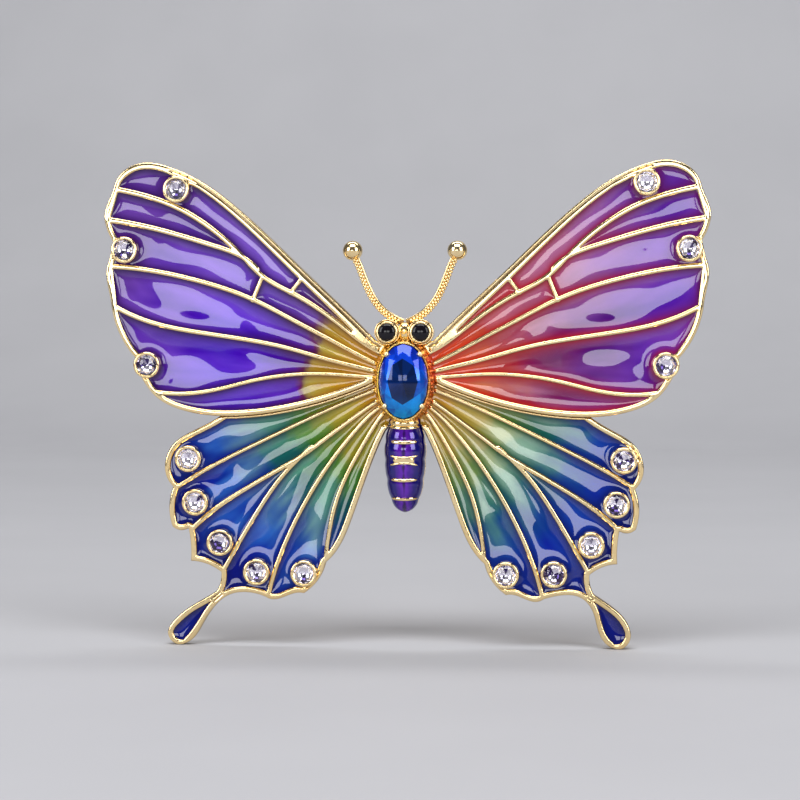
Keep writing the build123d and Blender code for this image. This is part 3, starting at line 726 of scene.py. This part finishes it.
def bezel(shape, x, z, foot, lip):
    """A crystal's bezel: a cup with a rolled lip and a shoulder that holds the stone."""
    ring = (BEZEL_R + CRYSTAL_R) / 2
    half = (BEZEL_R - CRYSTAL_R) / 2
    profile = [(BEZEL_R + 0.05, foot), (BEZEL_R, foot + SKIRT), (BEZEL_R, lip - half)]
    profile += arc((ring, lip - half), half, 0, 180, 9)[1:]
    profile += [(CRYSTAL_R, lip - 2.2 * half), (CRYSTAL_R * 0.9, lip - 3 * half), (0.1, lip - 6 * half)]
    lathe(shape, x, z, profile, cap=True)


def wing_enamel(wing, material, seed):
    """The enamel in a wing's cells, which climbs the walls and bezels round it."""
    node = f"{wing}_enamel"
    level = span(node)[1]
    cells = [smooth_loop(loop, RIDGE_STEP) for loop in plane_loops(node, level)]
    points, triangles = fill_region(cells, ENAMEL_STEP)
    edge_count = sum(map(len, cells))
    climb = solve_map(points, triangles, edge_count, source=0, leak=1 / MENISCUS_REACH**2, edge_value=1.0)
    # edge is near one at the walls, where the waves fade and the material paints shade
    edge = solve_map(points, triangles, edge_count, source=0, leak=1 / EDGE_REACH**2, edge_value=1.0)
    heights = level + RIDGE_SINK - MENISCUS * (1 - climb) + WAVES * waves(points, seed) * (1 - edge)
    skirts = sum(skirt_faces(cells, len(points)), [])
    low = raised(points[:edge_count], level - SKIRT)
    shape = Shape()
    shape.add(np.concatenate([raised(points, heights), low]), list(triangles) + skirts)
    shape.make(f"{wing}_enamel_fill", [material], [node], edge=edge)


# ---- stones

def brilliant(shape, x, z, half_x, half_z, girdle, crown, pavilion, table):
    """A brilliant cut: table, stars, kites and girdle facets in front, and a foiled pavilion behind."""
    eighth = math.pi / 8
    waist, keel = 0.79, 0.72  # where the crown's and the pavilion's middle corners lie, from the centre

    def row(radius, height, start, count=8):
        around = ellipse(count, half_x, half_z, start)
        return raised((x, z) + radius * around, girdle + height)

    waist_height = crown * (1 - waist * math.cos(eighth)) / (1 - table)
    keel_height = pavilion * (1 - keel * math.cos(eighth))
    edge = GIRDLE_EDGE
    rows = [row(table, crown + edge, 0), row(waist, waist_height + edge, eighth), row(1, edge, 0, 16),
            row(1, -edge, 0, 16), row(keel, -keel_height - edge, eighth), row(0, -pavilion - edge, 0, 1)]
    tops, waists, upper, _, keels, culet = np.cumsum([0, 8, 8, 16, 16, 8])
    front, rear = [tuple(range(8))], []
    for k in range(8):
        after, before = (k + 1) % 8, (k - 1) % 8
        left, right = upper + 2 * k, upper + (2 * k + 2) % 16
        between = upper + 2 * k + 1
        front += [(tops + k, waists + k, tops + after), (tops + k, waists + before, left, waists + k),
                  (waists + k, left, between), (waists + k, between, right)]
        front += [(left, left + 16, between + 16, between), (between, between + 16, right + 16, right)]
        rear += [(keels + k, between + 16, left + 16), (keels + k, right + 16, between + 16),
                 (culet, keels + k, left + 16, keels + before)]
    points = np.concatenate(rows)
    shape.add(points, front, flat=True)
    shape.add(points, rear, material=1, flat=True)


def cut_stone(node, front, behind, table, seed):
    """A faceted stone that fills its CAD solid's box."""
    rear, tip = span(node)
    crown = (tip - rear) * CROWN_SHARE - GIRDLE_EDGE
    pavilion = (tip - rear) * (1 - CROWN_SHARE) - GIRDLE_EDGE
    shape = Shape()
    brilliant(shape, *middle(node), *half_size(node), tip - crown - GIRDLE_EDGE, crown, pavilion, table)
    shape.make(f"{node}_cut", [front, behind], [node], facet_seed=seed)


# ---- body

def thorax():
    """The stone's gallery: a fluted collar that narrows to a thin lip, with a small claw at each corner."""
    x, z = middle("thorax_setting")
    back, tip = span("thorax_setting")
    half_x, half_z = half_size("thorax_setting")
    stone_x, stone_z = half_size("oval_stone")
    shape = Shape()
    # Each ring of the collar: how far it is from the stone (0) to the outline (1), its height and its flutes
    collar = [(0.7, back, 0), (0.97, back + 0.05, 0), (1, back + 0.15, 0), (1, 2.2, 0), (0.97, 2.45, 0.02),
              (0.86, 2.6, 0.12), (0.72, 2.8, 0.2), (0.56, 3.15, 0.18), (0.45, 3.5, 0.08), (0.4, 3.62, 0),
              (0.4, 3.74, 0), (0.3, 3.8, 0), (0.14, 3.8, 0), (0.06, 3.72, 0), (0.0, 3.5, 0), (-0.6, 3.2, 0)]
    sides, flute_pairs, flute_depth = 240, 17, 0.35
    angles = np.arange(sides) * 2 * math.pi / sides
    ripple = np.abs(np.sin(angles * flute_pairs + 0.6 * np.sin(3 * angles))) - 0.5
    rings = []
    for share, height, flute in collar:
        wide, tall = stone_x + (half_x - stone_x) * share, stone_z + (half_z - stone_z) * share
        reach = 1 + flute * ripple * flute_depth
        rings.append(raised((x, z) + ellipse(sides, wide * reach, tall * reach), height))
    shape.add(np.concatenate(rings), grid_faces(len(collar), sides, True))
    shape.add(rings[0], [tuple(range(sides))[::-1]], material=2)
    claw = [(0.36, 2.3), (0.3, 2.9), (0.25, 3.6), (0.27, 3.85)] + arc((0, tip - 0.3), 0.3, -10, 80, 8)
    # Where each claw stands, as shares of the stone's half width and half height
    for across, up in ((-0.68, 0.73), (0.68, 0.73), (-0.76, -0.66), (0.76, -0.66)):
        lathe(shape, x + across * stone_x, z + up * stone_z, claw, 20, material=1, cap=True)
    shape.make("thorax_gallery", [THORAX_GOLD, GOLD, GOLD_BACK], ["thorax_setting"])


def head():
    """The two eye cups with their stepped rims, and the saddle between them."""
    back, tip = span("head_casting")
    cup = [(0.02, back), (1.2, back), (1.28, back + 0.1)] + arc((1.21, tip - 0.48), 0.07, 0, 140, 7)
    groove = [(1.17, tip - 0.43), (1.15, tip - 0.62), (1.09, tip - 0.62), (1.08, tip - 0.2)]
    rim = arc((0.95, tip - 0.16), 0.15, -20, 180, 10) + [(0.8, tip - 0.5)]
    shape = Shape()
    for side in SIDES:
        x, z = middle(f"{side}_eye_stone")
        lathe(shape, x, z, cup, 64)
        # The groove is dark gold: painted shade
        lathe(shape, x, z, groove, 64, material=1)
        lathe(shape, x, z, rim, 64)
    z = middle("left_eye_stone")[1]
    saddle = [(0.02, back), (1, back), (1, back + 1.3), (0.95, back + 1.6), (0.8, back + 1.8),
              (0.5, back + 1.93), (0.1, back + 1.98)]
    lathe(shape, 0, z, saddle, 40, stretch=(0.75, 1.0), cap=True)
    ball(shape, (0, tip - 0.65, z + 0.05), 0.24, 10, 16)  # a bead on the saddle
    # A disc of dark gold below the saddle, painted shade
    shade_disc = [(0.5, back + 1.0), (0.42, tip - 1.0), (0.1, tip - 0.95)]
    lathe(shape, 0, z - 0.8, shade_disc, 24, material=1, cap=True)
    shape.make("eye_cups", [GOLD, SHADE_GOLD], ["head_casting"])


def eye(side):
    """A black stone with a low polished dome."""
    node = f"{side}_eye_stone"
    back, tip = span(node)
    bulge = 0.28
    turns = np.linspace(0, math.pi / 2 - 0.06, 9)
    dome = [(EYE_R * math.cos(turn), tip - bulge + bulge * math.sin(turn)) for turn in turns]
    shape = Shape()
    lathe(shape, *middle(node), [(0.7, back), (EYE_R, back + 0.1)] + dome, 48, cap=True)
    shape.make(f"{side}_eye", [BLACK], [node])


def antenna(side):
    """A granulated stem that ends in a ball: a wire, rows of tiny beads round it and a plain rail inside."""
    node, way = f"{side}_antenna", SIDES[side]
    wire_r, rail_r, rail_in, rail_forward = 0.26, 0.11, 0.29, 0.06
    bead_r, bead_out, pitch = 0.165, 0.25, 0.36
    bead_rows = np.radians([75, 130, 185, 240, 295])
    low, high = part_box(node)
    bottom, top = low.z / MM, high.z / MM
    back, front = span(node)
    height, ball_r = (back + front) / 2, (front - back) / 2
    # The line follows the CAD stem from above its root to below its ball, and is then smoothed
    levels = np.linspace(bottom + 0.9, top - 1.8 * ball_r, 12)
    stem = np.array([(crossing(node, z)[:, 0].mean(), z) for z in levels])
    root = (way * 0.2, bottom + 0.35)
    neck = (crossing(node, top - ball_r)[:, 0].mean(), top - ball_r)
    route = np.concatenate([[root], stem, [neck]])
    length = np.concatenate([[0], np.cumsum(np.hypot(*np.diff(route, axis=0).T))])
    steps = np.linspace(0, length[-1], 90)
    line = np.column_stack([np.interp(steps, length, axis) for axis in route.T])
    smoothings = 30
    for _ in range(smoothings):
        line[1:-1] += 0.25 * (line[2:] - 2 * line[1:-1] + line[:-2])
    ahead = np.gradient(line, axis=0)
    ahead /= np.hypot(*ahead.T)[:, None]
    inner = np.column_stack([-ahead[:, 1], ahead[:, 0]]) * way
    shape = Shape()

    def tube(offset, forward, radius, sides, material):
        """A tube along the line, moved inwards and forwards."""
        out, up = ellipse(sides, radius, radius).T
        rows = [raised(place + sideways * offset + np.outer(out, sideways * -way), height + forward + up)
                for place, sideways in zip(line, inner)]
        faces = [face[::-1] for face in grid_faces(len(line), sides, True)]
        shape.add(np.concatenate(rows), faces, material)

    # The wire under the beads is dark gold, painted shade in the gaps between them
    tube(0, 0, wire_r, 16, 1)
    tube(rail_in, rail_forward, rail_r, 10, 0)
    for row, angle in enumerate(bead_rows):
        beads = line + inner * bead_out * math.cos(angle)
        for along in np.arange(0.5 + pitch / 2 * (row % 2), length[-1] - ball_r * 0.9, pitch):
            x, z = (np.interp(along, steps, axis) for axis in beads.T)
            ball(shape, (x, height + bead_out * math.sin(angle), z), bead_r, 7, 10)
    ball(shape, (neck[0], height, neck[1]), ball_r * 0.995, 24, 36)
    shape.make(f"{side}_antenna_stem", [GOLD, SHADE_GOLD], [node])


def abdomen():
    """Swelling panels of enamel between gold bands, the widest of which is forked at its ends."""
    low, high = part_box("abdomen_enamel")
    back, front = span("abdomen_enamel")
    bottom, shoulder = low.z / MM, high.z / MM
    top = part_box("thorax_setting")[0].z / MM + 0.5  # under the gallery
    levels = np.linspace(bottom + 0.02, top, 90)
    open_levels = levels[levels < shoulder - 0.01]
    widths = np.array([np.abs(crossing("abdomen_enamel", z)[:, 0]).max() for z in open_levels])
    widths = np.append(widths, np.full(len(levels) - len(widths), widths[-1]))
    axis = front - widths.max()
    edges = np.array([level for level, _ in BANDS] + [bottom])

    def radius(z):
        """The body's half width, which dips a little at the bands."""
        dip, dip_reach = 0.08, 0.35
        gap = np.abs(np.subtract.outer(z, edges)).min(-1)
        return np.interp(z, levels, widths) - dip * np.exp(-(gap / dip_reach) ** 2)

    sides, inset = 64, 0.04  # the enamel stays this far in front of the back plate
    rows = []
    for z in levels:
        out, up = ellipse(sides, radius(z), radius(z)).T
        rows.append(np.column_stack([out, -np.maximum(axis + up, back + inset), np.full(sides, z)]))
    faces = grid_faces(len(levels), sides, True)
    faces += [tuple(range(sides))[::-1], tuple(range((len(levels) - 1) * sides, len(levels) * sides))]
    shape = Shape()
    shape.add(np.concatenate(rows), faces)
    shape.make("abdomen_fill", [ABDOMEN], ["abdomen_enamel"])

    gold_shape = Shape()

    def strap(centre, half, reach):
        """A raised band across the front, rounded at its ends. Its centre is a function of x."""
        across, over = np.linspace(-reach, reach, 31), np.linspace(-1, 1, 9)
        points = []
        for share in over:
            rise = 0.10 * (1.7 * math.sqrt(1 - share * share) - 0.7)
            for x in across:
                z = centre(x) + share * half * math.sqrt(max(1 - (abs(x) / reach) ** 6, 0.02))
                outside = float(radius(z)) + 0.05 + rise
                points.append((x, -(axis + math.sqrt(max(outside**2 - x * x, 0))), z))
        gold_shape.add(points, grid_faces(len(over), len(across)))

    for number, (level, half) in enumerate(BANDS):
        if number == WIDE_BAND:
            strap(lambda x: level, half, 1.05)
            for way in (-1, 1):
                strap(lambda x: level + way * (0.25 + 0.22 * (x / 1.35) ** 2), 0.15, 1.38)
        else:
            strap(lambda x: level - 0.03 * math.cos(2.2 * x), half, 1.5 if number == NECK_BAND else 1.3)
        if number == NECK_BAND:
            strap(lambda x: level + 0.45, 0.42, 1.45)
    across = np.linspace(1, -1, 13)
    plate = [np.column_stack([radius(z) * across, 0.04 * across**8 - back, np.full(len(across), z)])
             for z in levels]
    gold_shape.add(np.concatenate(plate), grid_faces(len(levels), len(across)), material=1)
    gold_shape.make("abdomen_bands", [GOLD, GOLD_BACK], ["abdomen_core"])


def abdomen_material():
    """Clear enamel, purple in the middle and deep blue at the sides, with a painted reflection: a brighter
    band either side of the middle and a darker line down the middle.
    """
    look = Look("abdomen_enamel", Metallic=0.3, Roughness=0.15, **CLEAR_COAT)
    parts = look.split(look.place)
    aside = look.math("DIVIDE", look.math("ABSOLUTE", parts["X"]), MM)
    aside = look.math("ADD", aside, look.range(look.noise(1.2), 0.3, 0.7, -0.15, 0.15))
    # Painted reflection: brighter just either side of the middle, darker on the middle line
    colour = look.ramp(aside, [
        (0.0, 40, 2, 85), (0.25, 92, 24, 168), (0.65, 62, 10, 140), (0.95, 28, 4, 112), (1.3, 4, 3, 112),
        (2.2, 2, 3, 80)], 2.4)
    return look.done({"Base Color": colour, "Normal": look.bump(look.noise(0.5, 2), 0.006)})


def thorax_material():
    """Gold with a tint over it, yellow to the left of the stone and orange to its right."""
    look = Look("tinted_gold", Metallic=1.0)
    parts = look.split(look.place)
    across = look.math("ADD", look.math("DIVIDE", parts["X"], MM),
                       look.range(look.noise(0.8, 3), 0.3, 0.7, -0.9, 0.9))
    half_width = 3.2
    tint = look.ramp(look.range(across, -half_width, half_width), [
        (0.0, 235, 190, 75), (0.3, 240, 200, 105), (0.6, 246, 212, 140), (0.8, 236, 160, 85),
        (1.0, 222, 110, 60)])
    grain = look.noise(0.18, 3)
    rough = look.range(grain, 0.3, 0.7, 0.1, 0.3)
    return look.done({"Base Color": tint, "Roughness": rough, "Normal": look.bump(grain, 0.05)})


def black_material():
    """Polished black stone with a faint cloud in it."""
    look = Look("black_stone", Roughness=0.05, Specular_IOR_Level=0.3)
    colour = look.blend(look.noise(0.6, 2), (0.001, 0.001, 0.002), (0.008, 0.006, 0.01))
    return look.done({"Base Color": colour})


def pin_material(name, colour, shade, roughness, brush):
    """Plated or drawn metal with fine lines along the pin and softened edges."""
    look = Look(name, Metallic=1.0)
    drawn = look.vector("MULTIPLY", look.place, (0.04, 1, 1))
    lines = look.noise(0.00012, 3, drawn)
    soft = look.node("Bevel", {"Radius": 0.08 * MM}, samples=4).outputs["Normal"]
    return look.done({
        "Base Color": look.blend(look.range(look.noise(2.5, 3), 0.35, 0.65), shade, colour),
        "Roughness": look.range(lines, 0.3, 0.7, roughness * 0.7, roughness * 1.4),
        "Normal": look.bump(lines, brush, soft),
    })


ROOT_LEVEL = ROOT[2] / MM
# Each band of the abdomen: its level and half its width
BANDS = [(-4.6 + ROOT_LEVEL, 0.22), (-6.07 + ROOT_LEVEL, 0.2), (-7.9 + ROOT_LEVEL, 0.42),
         (-9.88 + ROOT_LEVEL, 0.19), (-11.8 + ROOT_LEVEL, 0.17)]
NECK_BAND, WIDE_BAND = 0, 2
THORAX_GOLD = thorax_material()
BLACK = black_material()
ABDOMEN = abdomen_material()
PIN_GOLD = pin_material("pin_gold", (0.96, 0.72, 0.38), (0.88, 0.62, 0.30), 0.22, 0.004)
STEEL = pin_material("steel_pin", (0.80, 0.72, 0.52), (0.70, 0.60, 0.42), 0.16, 0.003)

# Each wing's enamel, as pale streaks, deep streaks, colours along the walls (painted shade), painted sheen
# and lean, and then the number of its crystals
WINGS = {
    "left_forewing": (
        [(2, 204, 166, 36), (6, 182, 166, 62), (9.2, 172, 164, 80), (10.2, 108, 40, 84),
         (11.2, 84, 34, 172), (18, 90, 46, 190), (25, 104, 60, 180), (31, 98, 56, 155)],
        [(2, 185, 130, 8), (8.7, 165, 130, 12), (9.8, 76, 6, 44), (10.9, 55, 2, 132), (18, 58, 6, 165),
         (26, 62, 12, 145), (31, 52, 5, 112)],
        [(2, 150, 98, 12), (8.8, 128, 88, 14), (10.2, 62, 3, 50), (16, 44, 3, 84), (31, 46, 4, 82)],
        (150, 112, 205), 0.0, 3),
    "right_forewing": (
        [(2, 168, 100, 52), (7, 178, 112, 76), (10, 170, 98, 94), (13, 148, 84, 120), (18, 100, 48, 124),
         (25, 98, 48, 158), (31, 104, 54, 170)],
        [(2, 152, 62, 18), (8, 156, 52, 26), (11, 132, 30, 52), (14, 98, 16, 78), (20, 68, 12, 104),
         (26, 70, 16, 142), (31, 68, 16, 150)],
        [(2, 172, 48, 12), (10, 162, 26, 12), (18, 150, 16, 34), (25, 122, 14, 62), (31, 86, 10, 82)],
        (212, 146, 172), 0.0, 3),
    "left_hindwing": (
        [(2, 200, 155, 40), (8, 168, 150, 62), (11, 126, 156, 92), (13.5, 84, 146, 122),
         (17, 92, 132, 138), (21, 38, 94, 178), (28, 8, 36, 152)],
        [(2, 172, 118, 10), (8, 120, 112, 20), (11, 48, 108, 24), (14, 10, 82, 80), (18, 4, 48, 128),
         (23, 1, 20, 138), (28, 1, 10, 108)],
        [(2, 145, 98, 10), (8, 104, 100, 14), (11, 34, 84, 14), (14, 5, 58, 62), (19, 2, 18, 112),
         (28, 1, 6, 88)],
        (126, 156, 92), -0.07, 5),
    "right_hindwing": (
        [(2, 205, 172, 105), (8, 196, 180, 134), (11, 176, 182, 140), (13.5, 122, 158, 138),
         (17, 62, 110, 112), (21, 16, 56, 146), (28, 8, 36, 150)],
        [(2, 186, 138, 52), (8, 156, 136, 62), (11, 92, 122, 50), (14, 20, 92, 80), (18, 5, 54, 116),
         (23, 1, 24, 136), (28, 1, 12, 110)],
        [(2, 150, 104, 26), (8, 120, 104, 26), (11, 52, 88, 24), (14, 8, 66, 56), (19, 2, 26, 106),
         (28, 1, 8, 88)],
        (184, 184, 132), -0.07, 5),
}
for wing_number, (wing, (*colours, painted_sheen, lean, count)) in enumerate(WINGS.items(), 1):
    seed = 10 + wing_number
    crystals = [f"{wing}_crystal_{number + 1}" for number in range(count)]
    wing_frame(wing, [middle(crystal) for crystal in crystals])
    wing_enamel(wing, enamel(f"{wing}_enamel", *colours, painted_sheen, lean, wing_number), seed)
    for number, crystal in enumerate(crystals):
        cut_stone(crystal, CRYSTAL, FOIL, CRYSTAL_TABLE, seed + 10 * number)

cut_stone("oval_stone", SAPPHIRE, FOIL, OVAL_TABLE, seed=9)
thorax()
head()
abdomen()
for side in SIDES:
    eye(side)
    antenna(side)

for name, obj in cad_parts.items():
    if not obj.hide_render:
        obj.data.materials.clear()
        obj.data.materials.append(STEEL if name == "pin_stem" else PIN_GOLD)


# ---- studio

def backdrop():
    """A pale floor that curves up into a wall behind."""
    low = cad_bounds[0]
    level, start, turn, wide = low[2], 0.35, 0.25, 1.5
    profile = [(-1.2, level), (start, level)]
    for angle in np.linspace(0, math.pi / 2, 12):
        profile.append((start + turn * math.sin(angle), level + turn * (1 - math.cos(angle))))
    profile.append((start + turn, level + 1.2))
    points = [(x, y, z) for y, z in profile for x in (-wide, wide)]
    faces = [(2 * k, 2 * k + 1, 2 * k + 3, 2 * k + 2) for k in range(len(profile) - 1)]
    mesh = bpy.data.meshes.new("floor")
    mesh.from_pydata(points, [], faces)
    mesh.polygons.foreach_set("use_smooth", [True] * len(faces))
    look = Look("floor", Roughness=0.7)
    tone = look.range(look.noise(40, 3), 0.3, 0.7)
    colour = look.blend(tone, (0.40, 0.40, 0.42), (0.42, 0.42, 0.44))
    mesh.materials.append(look.done({"Base Color": colour}))
    floor = new_object("floor", mesh)


def softbox(name, place, size, radiance, aim=(0, 0, 0)):
    """A rectangular light that faces a point. Its brightness is given for what a mirror would show."""
    data = bpy.data.lights.new(name, "AREA")
    data.shape = "RECTANGLE"
    data.size, data.size_y = size
    data.energy = radiance * math.pi * size[0] * size[1]
    light = new_object(name, data)
    light.location = place
    light.rotation_euler = (Vector(aim) - light.location).to_track_quat("-Z", "Y").to_euler()


backdrop()
softbox("key_left", (-0.078, -0.37, 0.024), (0.075, 0.052), 5.2, aim=(-0.03, 0, 0))
softbox("key_right", (0.022, -0.37, 0.024), (0.075, 0.052), 5.2, aim=(0.01, 0, 0))
softbox("left", (-0.30, -0.26, 0.12), (0.18, 0.24), 5.5)
softbox("right", (0.30, -0.26, 0.12), (0.18, 0.24), 5.5)
softbox("top", (0, -0.20, 0.40), (0.40, 0.20), 7)
softbox("backdrop", (0, 0.22, 0.60), (0.9, 0.2), 6, aim=(0, 0.62, 0.1))
world = bpy.data.worlds.new("world")
world.use_nodes = True
world.node_tree.nodes["Background"].inputs["Color"].default_value = (0.9, 0.92, 1.0, 1)
world.node_tree.nodes["Background"].inputs["Strength"].default_value = 0.14
bpy.context.scene.world = world
bpy.context.scene.view_settings.view_transform = "Standard"

camera = new_object("camera", bpy.data.cameras.new("camera"))
bpy.context.scene.camera = camera
target = Vector((-0.00063, 0, -0.00412))
azimuth, elevation, distance = math.radians(4.5), math.radians(2), 0.22
camera.location = target + distance * Vector((
    math.sin(azimuth) * math.cos(elevation), -math.cos(azimuth) * math.cos(elevation), math.sin(elevation)))
camera.rotation_euler = (target - camera.location).to_track_quat("-Z", "Y").to_euler()
camera.data.lens = 97.9
camera.data.clip_start = 0.001
